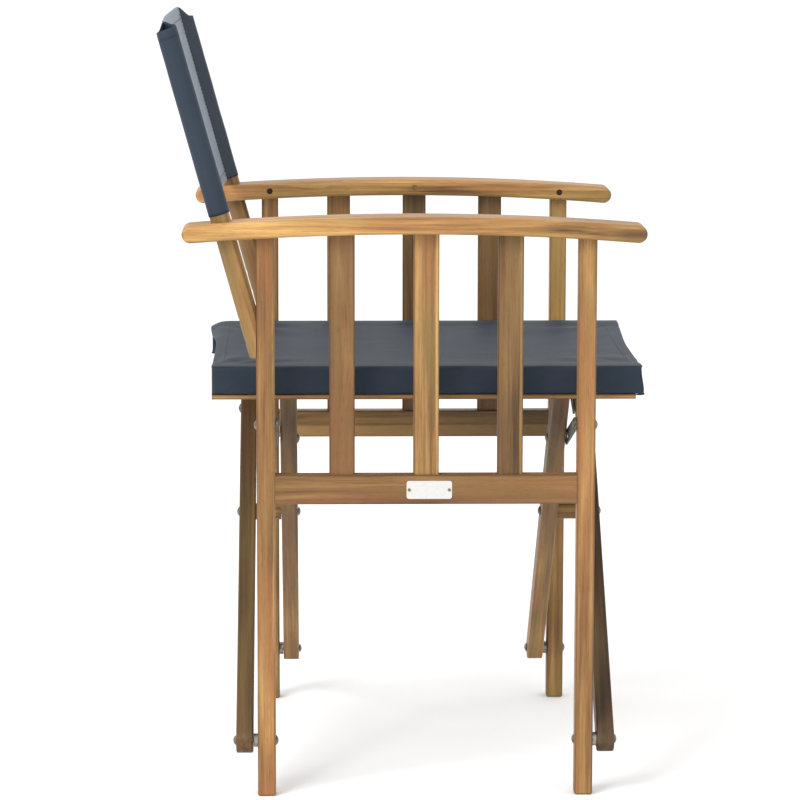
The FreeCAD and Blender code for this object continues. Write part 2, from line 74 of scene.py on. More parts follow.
X, Y, Z = Vector((1, 0, 0)), Vector((0, 1, 0)), Vector((0, 0, 1))
SIDES = {"right": -1, "left": 1}
CELL = 0.0065                 # size of a cell in the grids of the seat and the back panel
RAIL_ROUND = 0.003            # radius of the seat rails' corners
SEAT_TUCK = 0.0065            # how far the seat cloth goes in under its rails
RIM_SHARE = 0.20              # the top share of the back whose rim is shaped
RIM_PEAK = 0.003              # how far the back's rim rises at its seams


def step(t):
    """0 below 0, 1 above 1, and smooth in between."""
    t = min(1.0, max(0.0, t))
    return t * t * (3 - 2 * t)


def spaced(low, high, cell):
    """Evenly spaced distances from low to high, about one cell apart."""
    count = max(1, round((high - low) / cell))
    return [low + (high - low) * n / count for n in range(count + 1)]


# --- sizes and colours that a user would change ---

def colour(name, description, default):
    return bpy.props.FloatVectorProperty(name=name, description=description, subtype="COLOR", size=3,
                                         min=0, max=1, default=default)


def length(name, description, default):
    return bpy.props.FloatProperty(name=name, description=description, default=default, unit="LENGTH",
                                   subtype="DISTANCE", precision=4)


class ChairWood(bpy.types.PropertyGroup):
    light: colour("Light grain", "Sapwood and the palest streaks", (0.43, 0.250, 0.084))
    middle: colour("Middle grain", "The board's main tone", (0.255, 0.128, 0.038))
    dark: colour("Dark grain", "Heartwood streaks", (0.075, 0.034, 0.011))
    red: colour("Red cast", "Warm patches along a board", (0.280, 0.108, 0.036))
    olive: colour("Olive cast", "Greenish brown patches along a board", (0.190, 0.132, 0.036))
    streak: length("Streak width", "Width of the broad streaks", 0.009)
    pore: length("Pore width", "Width of the fine pores", 0.0005)
    # painted shade: the darker line along each edge stands in for the shade of the rounded arrises
    rim: length("Rim", "Width of the darker line along each edge", 0.0026)
    gloss: bpy.props.FloatProperty(name="Roughness", description="Roughness of the oiled face",
                                   default=0.50, min=0, max=1, subtype="FACTOR")


class ChairCanvas(bpy.types.PropertyGroup):
    navy: colour("Canvas", "Navy thread", (0.0090, 0.0185, 0.0330))
    worn: colour("Canvas, worn", "Faded and dusty thread", (0.020, 0.035, 0.052))
    back: colour("Back canvas", "Thread of the back, which the sun has faded", (0.017, 0.027, 0.044))
    thread: colour("Sewing thread", "Stitches", (0.022, 0.032, 0.048))
    pitch: length("Thread pitch", "Distance between neighbouring threads", 0.0011)
    thick: length("Thickness", "Thickness of the seat's cloth", 0.0011)
    back_thick: length("Back thickness", "Thickness of the back's cloth", 0.0006)
    hem: length("Hem", "Width of the folded hems", 0.013)
    stitch: length("Stitch", "Length of a stitch", 0.0032)
    stitch_pitch: length("Stitch pitch", "Distance from stitch to stitch", 0.0046)


class ChairSteel(bpy.types.PropertyGroup):
    bolt: colour("Bolts", "Dark plated bolts, nuts and screws", (0.24, 0.205, 0.165))
    link: colour("Links", "Flat bar with a worn black finish", (0.15, 0.145, 0.125))
    washer: colour("Spacers", "Spacers at the foot pivots", (0.36, 0.34, 0.31))
    # painted shade: these screws sit deep in their holes, and their colour is darkened to the shade there
    screw: colour("Sunk screws", "Screws deep in their holes", (0.045, 0.028, 0.018))
    plate: colour("Label plate", "Blank metal plate", (0.60, 0.59, 0.56))


class ChairStage(bpy.types.PropertyGroup):
    floor: colour("Floor", "Pale floor", (0.90, 0.90, 0.90))
    camera_place: bpy.props.FloatVectorProperty(name="Camera", description="Where the camera stands",
                                                subtype="XYZ", unit="LENGTH",
                                                default=(-0.097, -4.048, 1.015))
    camera_turn: bpy.props.FloatProperty(name="Turn", description="Turn to the right", subtype="ANGLE",
                                         default=math.radians(1.442))
    camera_tilt: bpy.props.FloatProperty(name="Tilt", description="Tilt down", subtype="ANGLE",
                                         default=math.radians(8.52))
    camera_roll: bpy.props.FloatProperty(name="Roll", description="Roll", subtype="ANGLE",
                                         default=math.radians(0.1))
    lens: bpy.props.FloatProperty(name="Lens", description="Focal length for a 36 mm sensor",
                                  default=158.2, subtype="DISTANCE_CAMERA")


# --- shader maths ---

class Value:
    """A shader socket in Python arithmetic: each operation on it adds a Math node."""

    def __init__(self, graph, socket):
        self.graph, self.socket = graph, socket

    def math(self, operation, *others):
        return self.graph.add("ShaderNodeMath", {"operation": operation}, [self, *others])

    def __add__(self, other):
        return self.math("ADD", other)

    def __mul__(self, other):
        return self.math("MULTIPLY", other)

    def __sub__(self, other):
        return self.math("SUBTRACT", other)

    def __truediv__(self, other):
        return self.math("DIVIDE", other)

    def __rsub__(self, other):
        return self.graph.add("ShaderNodeMath", {"operation": "SUBTRACT"}, [other, self])

    __radd__ = __add__
    __rmul__ = __mul__

    def __abs__(self):
        return self.math("ABSOLUTE")

    def ramp(self, low, high):
        """0 below low, 1 above high, and smooth in between."""
        return self.graph.add("ShaderNodeMapRange", {"interpolation_type": "SMOOTHSTEP"},
                              {"Value": self, "From Min": low, "From Max": high})


class Finish:
    """A node material with one Principled shader."""

    def __init__(self, name):
        self.material = bpy.data.materials.new(name)
        self.material.use_nodes = True
        self.tree = self.material.node_tree
        self.shader = self.tree.nodes["Principled BSDF"]

    def add(self, kind, settings, inputs, output=0):
        """One node: its settings, then the values or links of its sockets; returns one output."""
        node = self.tree.nodes.new(kind)
        for key, value in settings.items():
            if key == "stops":
                elements = node.color_ramp.elements
                while len(elements) < len(value):
                    elements.new(0.5)
                for element, (place, stop) in zip(elements, value):
                    element.position, element.color = place, (*stop, 1)
            else:
                setattr(node, key, value)
        pairs = inputs.items() if isinstance(inputs, dict) else enumerate(inputs)
        for key, value in pairs:
            self.put(node.inputs[key], value)
        return Value(self, node.outputs[output])

    def put(self, socket, value):
        if isinstance(value, Value):
            self.tree.links.new(value.socket, socket)
        elif socket.type == "RGBA":
            socket.default_value = (*value, 1)
        else:
            socket.default_value = value

    def mix(self, factor, a, b, blend="MIX"):
        """A colour mix."""
        node = self.tree.nodes.new("ShaderNodeMix")
        node.data_type, node.blend_type = "RGBA", blend
        for index, value in ((0, factor), (6, a), (7, b)):
            self.put(node.inputs[index], value)
        return Value(self, node.outputs[2])

    def vector(self, operation, a, b):
        return self.add("ShaderNodeVectorMath", {"operation": operation}, [a, b])

    def noise(self, place, scale, detail=2.0, rough=0.5, distortion=0.0):
        """Noise whose size differs along each axis: scale holds one over each size."""
        stretched = self.vector("MULTIPLY", place, scale)
        return self.add("ShaderNodeTexNoise", {}, {"Vector": stretched, "Scale": 1.0, "Detail": detail,
                                                   "Roughness": rough, "Distortion": distortion})

    def axes(self, place):
        node = self.add("ShaderNodeSeparateXYZ", {}, [place]).socket.node
        return [Value(self, node.outputs[i]) for i in range(3)]

    def bump(self, height, strength, distance):
        self.shader_input("Normal", self.add("ShaderNodeBump", {}, {
            "Strength": strength, "Distance": distance, "Height": height}))

    def shader_input(self, name, value):
        self.put(self.shader.inputs[name], value)


def paint(node, finish):
    """Give a CAD node its finish."""
    thing = frame["nodes"][node]
    thing.data.materials.clear()
    thing.data.materials.append(finish.material)


# --- wood ---

BAR_FEET = {"outer": -1, "inner": 1}          # the side that each pair of bars has its feet on
POLE_LEAN = math.radians(15.6)
PANEL_BEHIND = 0.002          # the back's seams and panel stand this far behind the poles' middles

# how light each board is at its low or rear end and at its other end, and how far it leans to red
# (positive) or olive (negative)
# The levels are partly each board's own tone and partly painted shade: the crossed bars darken towards their upper
# ends, and the far side's slats are darkened, where the seat shades them.
BOARD_TONE_AND_SHADE = {
    "armrest_right": (1.45, 1.05, -0.10), "armrest_left": (1.30, 1.20, 0.05),
    "rear_leg_right": (1.15, 0.80, 0.60), "front_leg_right": (0.92, 1.05, 0.30),
    "rear_leg_left": (0.70, 0.85, 0.0), "front_leg_left": (0.90, 1.40, -0.35),
    "side_rail_right": (0.72, 0.76, 0.45), "side_rail_left": (0.85, 0.34, -0.25),
    "slat_rear_right": (0.62, 0.64, 0.35), "slat_middle_right": (0.92, 1.05, -0.20),
    "slat_front_right": (0.50, 0.54, -0.20),
    "slat_rear_left": (0.80, 0.95, -0.10), "slat_middle_left": (0.40, 0.46, 0.10),
    "slat_front_left": (0.48, 0.54, -0.20),
    "back_pole_right": (0.90, 0.95, -0.50), "back_pole_left": (0.65, 0.70, 0.15),
    "seat_batten_right": (1.00, 0.95, 0.10), "seat_batten_left": (0.75, 0.70, 0.0),
    "outer_rear_bar": (0.46, 0.25, -0.15), "inner_rear_bar": (0.80, 0.38, -0.15),
    "outer_front_bar": (0.26, 0.20, -0.10), "inner_front_bar": (0.95, 0.42, -0.10),
}
PALE_BELOW_FROM = {"side_rail_left": -0.002}          # how far across the board side_rail_left turns paler below, in metres: darker on its upper part and paler on its lower part


def middle(node):
    low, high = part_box(node)
    return (low + high) / 2


def bar_direction(pair):
    """Along a bar, from its foot up to the seat rail on the other side."""
    foot = middle("foot_bolts_" + ("right" if BAR_FEET[pair] < 0 else "left"))
    cross = middle("centre_bolts")
    return Vector((0, cross.y - foot.y, cross.z - foot.z)).normalized()


def grain_axis(node):
    """The direction of the grain in a wooden piece."""
    if node.endswith("_bar"):
        return bar_direction(node.split("_")[0])
    if node.startswith("back_pole"):
        return Vector((-math.sin(POLE_LEAN), 0, math.cos(POLE_LEAN)))
    if "leg" in node or node.startswith("slat"):
        return Z
    return Y if node.startswith("arm_plug") else X


def half_sizes(node, turn):
    """Half the piece's size along the grain and across it, in the turned directions."""
    centre = middle(node)
    reach = [turn @ (v.co - centre) for v in frame["nodes"][node].data.vertices]
    return [max(abs(p[i]) for p in reach) for i in range(3)]


def wood_finish(node, seed):
    """Oiled acacia on one piece: streaks, heartwood, pores and knots run along its own grain."""
    s = bpy.context.scene.chair_wood
    f = Finish("acacia_" + node)
    pick = random.Random(seed)
    low_end, high_end, lean = BOARD_TONE_AND_SHADE.get(node, (0.9, 0.9, 0.0))
    turn = grain_axis(node).rotation_difference(X)
    along, wide, deep = half_sizes(node, turn)
    place = f.add("ShaderNodeMapping", {"vector_type": "POINT"}, {
        "Vector": f.add("ShaderNodeTexCoord", {}, [], "Object"),
        "Location": -(turn @ middle(node)), "Rotation": turn.to_euler()})
    board = f.vector("ADD", place, [pick.uniform(-4, 4) for _ in range(3)])
    x, y, z = f.axes(place)

    # knots are few, long along the grain, and push the streaks aside
    cells = f.vector("MULTIPLY", board, (6.5, 30.0, 30.0))
    knots = f.add("ShaderNodeTexVoronoi", {"feature": "F1"}, {"Vector": cells, "Scale": 1.0,
                                                             "Randomness": 1.0}).socket.node
    near = Value(f, knots.outputs["Distance"])
    chosen = f.axes(Value(f, knots.outputs["Color"]))[0].ramp(0.80, 0.81)
    knot = (1 - near.ramp(0.05, 0.24)) * chosen
    swirl = (1 - near.ramp(0.10, 0.60)) * chosen

    # broad heartwood streaks, finer ones inside them, and fibres
    across = 1 / s.streak
    bent = f.vector("ADD", board, f.vector("MULTIPLY", f.add("ShaderNodeCombineXYZ", {}, [0.0, swirl, swirl]),
                                           (0.0, 0.004, 0.004)))
    broad = f.noise(bent, (4.2, across, across), 2.0, 0.50, 0.35)
    narrow = f.noise(bent, (9.0, across * 3.2, across * 3.2), 3.0, 0.60, 0.20)
    fine = f.noise(board, (26.0, 1100.0, 1100.0), 2.0, 0.6)
    cloud = f.noise(f.vector("ADD", board, (5.0, 1.0, 2.0)), (7.0, 24.0, 24.0), 2.0, 0.5)
    tone = broad * 0.46 + narrow * 0.34 + cloud * 0.30 + fine * 0.10 - 0.10
    grain = f.add("ShaderNodeValToRGB", {"stops": [(0.34, s.dark), (0.48, s.middle), (0.64, s.light)]},
                  [tone])

    patches = f.noise(board, (5.0, 30.0, 30.0), 2.0)
    other = f.noise(f.vector("ADD", board, (7.0, 3.0, 1.0)), (4.0, 38.0, 38.0), 2.0)
    colour_now = f.mix(patches.ramp(0.44, 0.66) * min(1.0, 0.45 + max(0.0, lean) * 0.5), grain, s.red)
    colour_now = f.mix(other.ramp(0.46, 0.68) * min(1.0, 0.45 + max(0.0, -lean) * 0.5), colour_now, s.olive)
    colour_now = f.mix(max(0.0, lean) * 0.30, colour_now, s.red)
    colour_now = f.mix(max(0.0, -lean) * 0.30, colour_now, s.olive)
    colour_now = f.mix(knot * 0.75, colour_now, s.dark)

    # pale sapwood along the lower edge of some boards, at a random height; on side_rail_left the height is listed,
    # and the rail is painted darker on its upper part and paler on its lower part
    start = PALE_BELOW_FROM.get(node, pick.uniform(-3.2, -0.75) * deep)
    wander = f.noise(board, (6.0, 40.0, 40.0), 2.0) * 0.005 - 0.0025
    pale_below = 1 - (z + wander).ramp(start - 0.0012, start + 0.0012)
    colour_now = f.mix(pale_below * 0.80, colour_now, f.mix(fine, s.light, [c * 1.45 for c in s.light]))

    # pores, painted shade along each edge for its rounded arris, and dark end grain
    pores = f.noise(board, (80.0, 1 / s.pore, 1 / s.pore), 1.0)
    open_pores = pores.ramp(0.60, 0.72)
    colour_now = f.mix(open_pores * 0.30, colour_now, s.dark)
    # painted shade: a darker line along each edge, broken up by noise, stands in for the shade of the rounded
    # arrises
    edge = abs(y).ramp(wide - s.rim, wide) * abs(z).ramp(deep - s.rim, deep)
    worn = f.noise(board, (30.0, 90.0, 90.0), 2.0)
    colour_now = f.mix(edge * (0.45 + worn * 0.60), colour_now, s.dark)
    ends = abs(x).ramp(along - 0.0030, along - 0.0002)
    colour_now = f.mix(ends * 0.40, colour_now, s.dark)

    # painted shade in part: the level from the table darkens the crossed bars towards their upper ends, under the
    # seat
    tone_and_shade_level = (x / along * 0.5 + 0.5).ramp(0.05, 0.95) * (high_end - low_end) + low_end
    factor = f.add("ShaderNodeCombineXYZ", {}, [tone_and_shade_level, tone_and_shade_level, tone_and_shade_level])
    f.shader_input("Base Color", f.vector("MULTIPLY", colour_now, factor))
    f.shader_input("Roughness", s.gloss + fine * 0.16 + open_pores * 0.14 - 0.10)
    f.shader_input("Specular IOR Level", 0.35)
    f.bump(fine * 0.5 + narrow * 0.4 - open_pores * 1.2 - knot * 0.6, 0.45, 0.00035)
    return f


class CHAIR_OT_wood(bpy.types.Operator):
    """Finish the legs, armrests, rails, slats, poles and crossed bars in oiled acacia"""
    bl_idname = "chair.wood"
    bl_label = "Wood"

    def execute(self, context):
        slots = {p["node"]: p["material_slot"] for p in frame["record"]["subparts"]}
        boards = sorted(n for n, slot in slots.items() if slot in ("hardwood", "bar_hardwood"))
        for seed, node in enumerate(boards):
            paint(node, wood_finish(node, seed))
        return {"FINISHED"}


# --- steel ---

def metal_finish(name, tone, rough, metallic=1.0, grimy=1.0):
    f = Finish(name)
    place = f.add("ShaderNodeTexCoord", {}, [], "Object")
    grime = f.noise(place, (260.0, 260.0, 260.0), 4.0, 0.6)
    marks = f.noise(place, (1600.0, 300.0, 1600.0), 2.0)
    dark = [c * 0.45 for c in tone]
    f.shader_input("Base Color", f.mix(grime.ramp(0.40, 0.70) * grimy, list(tone), dark))
    f.shader_input("Metallic", metallic)
    f.shader_input("Roughness", rough + (grime * 0.22 + marks * 0.25 - 0.20) * grimy)
    f.bump(marks + grime, 0.25 * grimy, 0.00008)
    return f


class CHAIR_OT_steel(bpy.types.Operator):
    """Finish the bolts, nuts, screws, links, spacers and the label plate"""
    bl_idname = "chair.steel"
    bl_label = "Steel"

    def execute(self, context):
        s = context.scene.chair_steel
        finishes = {
            "bolt_steel": metal_finish("dark_plated_steel", s.bolt, 0.40),
            "link_steel": metal_finish("worn_flat_bar", s.link, 0.46),
            "pivot_washer": metal_finish("spacer_metal", s.washer, 0.42),
            "label_metal": metal_finish("satin_plate", s.plate, 0.42, 0.45, 0.10),
        }
        # painted shade: the screws deep in their holes get a near-black colour for the shade of the holes
        shaded_sunk_screws = metal_finish("sunk_screws_painted_shade", s.screw, 0.55, 0.6)
        for part in frame["record"]["subparts"]:
            if part["material_slot"] in finishes:
                deep = part["node"].startswith(("arm_screws", "pole_screws"))
                paint(part["node"], shaded_sunk_screws if deep else finishes[part["material_slot"]])
        return {"FINISHED"}


# --- cloth ---

def canvas_finish(name, tone, faded, sheen=0.03, seams=()):
    """Plain-woven canvas. UVs are in metres on the flat cloth, so threads follow it.
    Seams are distances down the cloth at which a hem is sewn."""
    s = bpy.context.scene.chair_canvas
    f = Finish(name)
    place = f.add("ShaderNodeUVMap", {"uv_map": "cloth"}, [])
    across, down, _ = f.axes(place)
    turns = math.pi / s.pitch
    warp = (across * turns).math("SINE")
    weft = (down * turns).math("SINE")
    over = ((across * turns).math("COSINE") * (down * turns).math("COSINE")).ramp(-0.25, 0.25)
    height = over * abs(warp) + (1 - over) * abs(weft)
    slubs = f.noise(place, (900.0, 70.0, 1.0), 2.0) * 0.5 + f.noise(place, (70.0, 900.0, 1.0), 2.0) * 0.5
    cloud = f.noise(place, (9.0, 14.0, 1.0), 3.0, 0.55)
    dust = f.noise(place, (48.0, 60.0, 1.0), 4.0, 0.65)
    mixed = f.mix(cloud.ramp(0.36, 0.70) * 0.45 + dust.ramp(0.50, 0.78) * 0.20, tone, faded)
    mixed = f.mix((1 - slubs.ramp(0.38, 0.56)) * 0.30, mixed, [c * 0.60 for c in tone])
    # painted shade: the low parts of the weave, between the threads, are darkened as their hollows would be shaded
    mixed = f.mix((1 - height.ramp(0.10, 0.55)) * 0.30, mixed, [c * 0.50 for c in tone])
    sewn = 0.0
    for seam in seams:
        sewn = (1 - abs(down - seam).ramp(0.0002, 0.0009)) + sewn
    mixed = f.mix(sewn * 0.70, mixed, [c * 0.25 for c in tone]) if seams else mixed
    f.shader_input("Base Color", mixed)
    f.shader_input("Roughness", 0.50 + slubs * 0.20)
    f.shader_input("Specular IOR Level", 0.28)
    f.shader_input("Sheen Weight", sheen)
    f.shader_input("Sheen Roughness", 0.35)
    f.shader_input("Sheen Tint", (0.80, 0.88, 1.0))
    f.bump(height * 0.6 + slubs * 0.4 + dust * 0.4 - sewn * 2.5, 0.40, 0.00018)
    return f


def thread_finish():
    s = bpy.context.scene.chair_canvas
    f = Finish("sewing_thread")
    place = f.add("ShaderNodeTexCoord", {}, [], "Object")
    twist = f.noise(place, (1500.0, 1500.0, 1500.0), 1.0)
    f.shader_input("Base Color", f.mix(twist, list(s.thread), [c * 1.8 for c in s.thread]))
    f.shader_input("Roughness", 0.55)
    f.bump(twist, 0.3, 0.0001)
    return f


def object_of(name, mesh, *finishes):
    """A finished piece whose object stays at the origin, with its place in its mesh."""
    thing = bpy.data.objects.new(name, mesh)
    bpy.context.scene.collection.objects.link(thing)
    for finish in finishes:
        mesh.materials.append(finish.material)
    for face in mesh.polygons:
        face.use_smooth = True
    return thing


def flat_cloth(across, down):
    """A flat grid with its columns and rows at these distances, and UVs in metres on the flat cloth."""
    bm = bmesh.new()
    columns, rows = len(across) - 1, len(down) - 1
    uv = bm.loops.layers.uv.new("cloth")
    bmesh.ops.create_grid(bm, x_segments=columns, y_segments=rows, size=0.5)
    for v in bm.verts:
        v.co = (across[round((v.co.x + 0.5) * columns)], down[round((v.co.y + 0.5) * rows)], 0)
    for face in bm.faces:
        for loop in face.loops:
            loop[uv].uv = loop.vert.co.xy
    return bm


def apply_modifiers(thing):
    """Replace a piece's mesh with the one its modifiers give, and drop them."""
    graph = bpy.context.evaluated_depsgraph_get()
    mesh = bpy.data.meshes.new_from_object(thing.evaluated_get(graph))
    thing.modifiers.clear()
    old, thing.data = thing.data, mesh
    bpy.data.meshes.remove(old)


def settle(thing, pinned, frames, gravity):
    """Let a cloth hang from its pinned vertices, and keep the shape that it takes."""
    group = thing.vertex_groups.new(name="pinned")
    group.add(pinned, 1.0, "REPLACE")
    cloth = thing.modifiers.new("Cloth", "CLOTH")
    s = cloth.settings
    s.quality = 8
    s.mass = 0.03
    s.tension_stiffness = s.compression_stiffness = 60
    s.shear_stiffness = 30
    s.bending_stiffness = 3.0
    s.vertex_group_mass = "pinned"
    s.effector_weights.gravity = gravity
    cloth.point_cache.frame_start, cloth.point_cache.frame_end = 1, frames
    scene = bpy.context.scene
    for now in range(1, frames + 1):
        scene.frame_set(now)
    apply_modifiers(thing)
    thing.vertex_groups.clear()
    scene.frame_set(1)


def finish_cloth(thing, thick):
    """One subdivision, then the cloth's thickness."""
    smooth = thing.modifiers.new("Smooth", "SUBSURF")
    smooth.levels = smooth.render_levels = 1
    solid = thing.modifiers.new("Thickness", "SOLIDIFY")
    solid.thickness, solid.offset = thick, 0.0
    apply_modifiers(thing)
    for face in thing.data.polygons:
        face.use_smooth = True


def fold_hem(bm, edges, outward, under, width, thick):
    """Turn a free edge of the cloth round and back under itself."""
    turned = edges
    moves = ((outward * thick + under * thick * 0.35), (-outward * thick + under * thick),
             (-outward * (width / 2)), (-outward * (width / 2)))
    for move in moves:
        made = bmesh.ops.extrude_edge_only(bm, edges=turned)["geom"]
        bmesh.ops.translate(bm, vec=move, verts=[v for v in made if isinstance(v, bmesh.types.BMVert)])
        turned = [e for e in made if isinstance(e, bmesh.types.BMEdge)
                  and all(v in set(made) for v in e.verts)]


def stitches(name, cloth, lines, lift):
    """Rows of stitches on a cloth. Each line is (start, end, which way to look for the cloth)."""
    s = bpy.context.scene.chair_canvas
    tree = BVHTree.FromPolygons([v.co for v in cloth.data.vertices],
                                [p.vertices for p in cloth.data.polygons])
    one = bmesh.new()
    bmesh.ops.create_uvsphere(one, u_segments=6, v_segments=4, radius=0.5)
    bmesh.ops.rotate(one, matrix=Matrix.Rotation(math.pi / 2, 3, "Y"), verts=one.verts)
    bmesh.ops.scale(one, vec=(s.stitch, 0.00075, 0.0006), verts=one.verts)
    shape = bpy.data.meshes.new(name + "_one")
    one.to_mesh(shape)
    one.free()
    bm = bmesh.new()
    for start, end, look in lines:
        run = end - start
        count = int(run.length / s.stitch_pitch)
        for n in range(count):
            place = start + run * ((n + 0.5) / count)
            hit, normal, _, _ = tree.ray_cast(place - look * 0.03, look, 0.06)
            if hit is None:
                continue
            along = (run - normal * run.dot(normal)).normalized()
            side = normal.cross(along)
            turn = Matrix((along, side, normal)).transposed().to_4x4()
            before = len(bm.verts)
            bm.from_mesh(shape)
            bm.verts.ensure_lookup_table()
            moved = Matrix.Translation(hit + normal * lift) @ turn
            bmesh.ops.transform(bm, matrix=moved, verts=bm.verts[before:])
    bpy.data.meshes.remove(shape)
    mesh = bpy.data.meshes.new(name)
    bm.to_mesh(mesh)
    bm.free()
    return object_of(name, mesh, thread_finish())


# --- seat ---

class SeatRails:
    """The path that the seat cloth takes round the two seat rails."""

    def __init__(self):
        rail_low, rail_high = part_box("seat_rail_left")
        cloth_low, cloth_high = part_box("seat_sling_left")
        self.cloth = cloth_high.z - rail_high.z
        self.rear, self.front = cloth_low.x, cloth_high.x
        self.inner, self.outer = rail_low.y, rail_high.y
        self.top, self.base = rail_high.z + self.cloth / 2, rail_low.z - self.cloth / 2
        self.radius = RAIL_ROUND + self.cloth / 2
        self.tuck = SEAT_TUCK
        self.flat = self.outer + self.cloth / 2 - self.radius
        self.turn = self.radius * math.pi / 2
        self.drop = self.top - self.base - 2 * self.radius
        self.half = self.flat + self.turn + self.drop + self.turn + self.tuck - self.radius

    def rows(self):
        """Distances over the cloth for its rows: closer together round the rails' corners."""
        marks = [0, self.flat, self.flat + self.turn, self.flat + self.turn + self.drop,
                 self.flat + 2 * self.turn + self.drop, self.half]
        cells = (CELL, self.turn / 4, 0.0045, self.turn / 4, 0.004)
        half = [0.0]
        for low, high, cell in zip(marks, marks[1:], cells):
            half += spaced(low, high, cell)[1:]
        return [-run for run in reversed(half[1:])] + half

    def at(self, run):
        """Place and outward normal, in Y and Z, at a signed distance over the cloth from its middle."""
        side, run = math.copysign(1, run), abs(run)
        outside = self.flat + self.radius
        if run <= self.flat:
            y, z, ny, nz = run, self.top, 0, 1
        elif run <= self.flat + self.turn:
            a = (run - self.flat) / self.radius
            y, z = self.flat + math.sin(a) * self.radius, self.top - (1 - math.cos(a)) * self.radius
            ny, nz = math.sin(a), math.cos(a)
        elif run <= self.flat + self.turn + self.drop:
            y, z = outside, self.top - self.radius - (run - self.flat - self.turn)
            ny, nz = 1, 0
        elif run <= self.flat + 2 * self.turn + self.drop:
            a = (run - self.flat - self.turn - self.drop) / self.radius
            y = outside - (1 - math.cos(a)) * self.radius
            z = self.base + self.radius - math.sin(a) * self.radius
            ny, nz = math.cos(a), -math.sin(a)
        else:
            y = self.flat - (run - self.flat - 2 * self.turn - self.drop)
            z, ny, nz = self.base, 0, -1
        return Vector((0, side * y, z)), Vector((0, side * ny, nz))


def seat_ripple(x, run, rails):
    """Soft unevenness of the seat: creases that fan out of the rear corners, and slack bands."""
    inside = max(0.0, 1 - abs(run) / rails.inner)
    free = min(1.0, inside * 6)
    broad = noise.noise(Vector((x * 9, run * 22, 3.1))) * 1.1
    fine = noise.noise(Vector((x * 26, run * 9, 8.4))) * 0.5
    creases = 0.0
    for corner_x, corner_y, size in ((rails.rear, -rails.inner, 1.0), (rails.rear, rails.inner, 0.7),
                                     (rails.front, -rails.inner, 0.5), (rails.front, rails.inner, 0.5)):
        dx, dy = x - corner_x, run - corner_y
        away = math.hypot(dx, dy)
        angle = math.atan2(abs(dy), abs(dx) + 1e-6)
        creases += size * math.sin(angle * 11 + 0.6) * math.exp(-((away - 0.05) / 0.055) ** 2)
    return ((broad + fine) * 0.0013 + creases * 0.0017) * free


def seat_drape(x, run, rails):
    """How the cloth leaves its tidy path: moved along the chair, stood off the rail, and drooping."""
    ends, far, deep = 0.06, step(run / rails.flat), abs(run) - rails.flat
    rear, front = step((rails.rear + ends - x) / ends), step((x - rails.front + ends) / ends)
    border = step(deep / rails.turn) * (1 - step((deep - rails.turn - rails.drop) / rails.turn))
    crown = step((abs(run) - rails.inner + 0.02) / 0.02) * (1 - step(deep / rails.turn))
    slant = step((deep - rails.turn) / rails.drop) * (1 - step(run / 0.01))
    wave = 0.5 + 0.8 * noise.noise(Vector((x * 17, math.copysign(4, run), 5.0)))
    along = -0.011 * far * rear ** 2 + 0.005 * far * front + 0.0028 * slant * front
    off = border * 0.0022 * max(0.0, wave) + crown * (0.0008 + 0.0010 * far)
    return along, off, 0.006 * step((rails.rear - x - along) / 0.011)


class CHAIR_OT_seat(bpy.types.Operator):
    """Stretch the woven seat over the two seat rails, with folded hems and stitching"""
    bl_idname = "chair.seat"
    bl_label = "Seat sling"

    def execute(self, context):
        s = context.scene.chair_canvas
        rails = SeatRails()
        long = rails.front - rails.rear
        middle_x = (rails.front + rails.rear) / 2
        bm = flat_cloth(spaced(-long / 2, long / 2, CELL), rails.rows())
        for v in bm.verts:
            x, run = v.co.x + middle_x, v.co.y
            spot, normal = rails.at(run)
            along, off, droop = seat_drape(x, run, rails)
            v.co = Vector((x + along, 0, -droop)) + spot + normal * (seat_ripple(x, run, rails) + off)
        mesh = bpy.data.meshes.new("seat_cloth")
        bm.to_mesh(mesh)
        bm.free()
        thing = object_of("seat_cloth", mesh, canvas_finish("seat_canvas", list(s.navy), list(s.worn)))
        held = [v.index for v in mesh.vertices if abs(v.co.y) > rails.inner + 0.002]
        settle(thing, held, 24, 0.04)
        bm = bmesh.new()
        bm.from_mesh(thing.data)
        for end, outward in ((rails.rear, -X), (rails.front, X)):
            rim = [e for e in bm.edges if e.is_boundary and all(
                (v.co.x - end) * outward.x > -0.004 and abs(v.co.y) < rails.flat for v in e.verts)]
            fold_hem(bm, rim, outward, -Z, s.hem, s.thick * 1.15)
        bm.to_mesh(thing.data)
        bm.free()
        finish_cloth(thing, s.thick)

        across = rails.inner - 0.004
        lines = []
        for x in (rails.rear + s.hem - 0.002, rails.front - s.hem + 0.002):
            lines.append((Vector((x, -across, rails.top)), Vector((x, across, rails.top)), -Z))
        sewn = stitches("seat_stitches", thing, lines, 0.0001)
        for piece in (thing, sewn):
            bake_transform(piece)
        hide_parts("seat_sling_right", "seat_sling_left")
        2 * rails.half
        return {"FINISHED"}


# --- back ---

class BackPoles:
    """Places on the leaning back: across the chair, up along the poles and forward of their middles."""

    def __init__(self):
        low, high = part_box("back_sling_right")
        pole = middle("back_pole_right")
        self.spread = -pole.y
        self.radius = pole.y - low.y
        sine, cosine = math.sin(POLE_LEAN), math.cos(POLE_LEAN)
        self.tall = (high.z - low.z - 2 * self.radius * sine) / cosine
        self.foot = Vector((high.x - self.radius * cosine, 0, low.z + self.radius * sine))
        self.up = Vector((-sine, 0, cosine))
        self.forward = Vector((cosine, 0, sine))
        pole_low, pole_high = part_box("back_pole_right")
        self.hug = (pole_high.y - pole_low.y) / 2 + 0.00055
        self.seam = self.radius + 0.011

    def at(self, y, up, forward):
        return self.foot + self.up * up + self.forward * forward + Vector((0, y, 0))


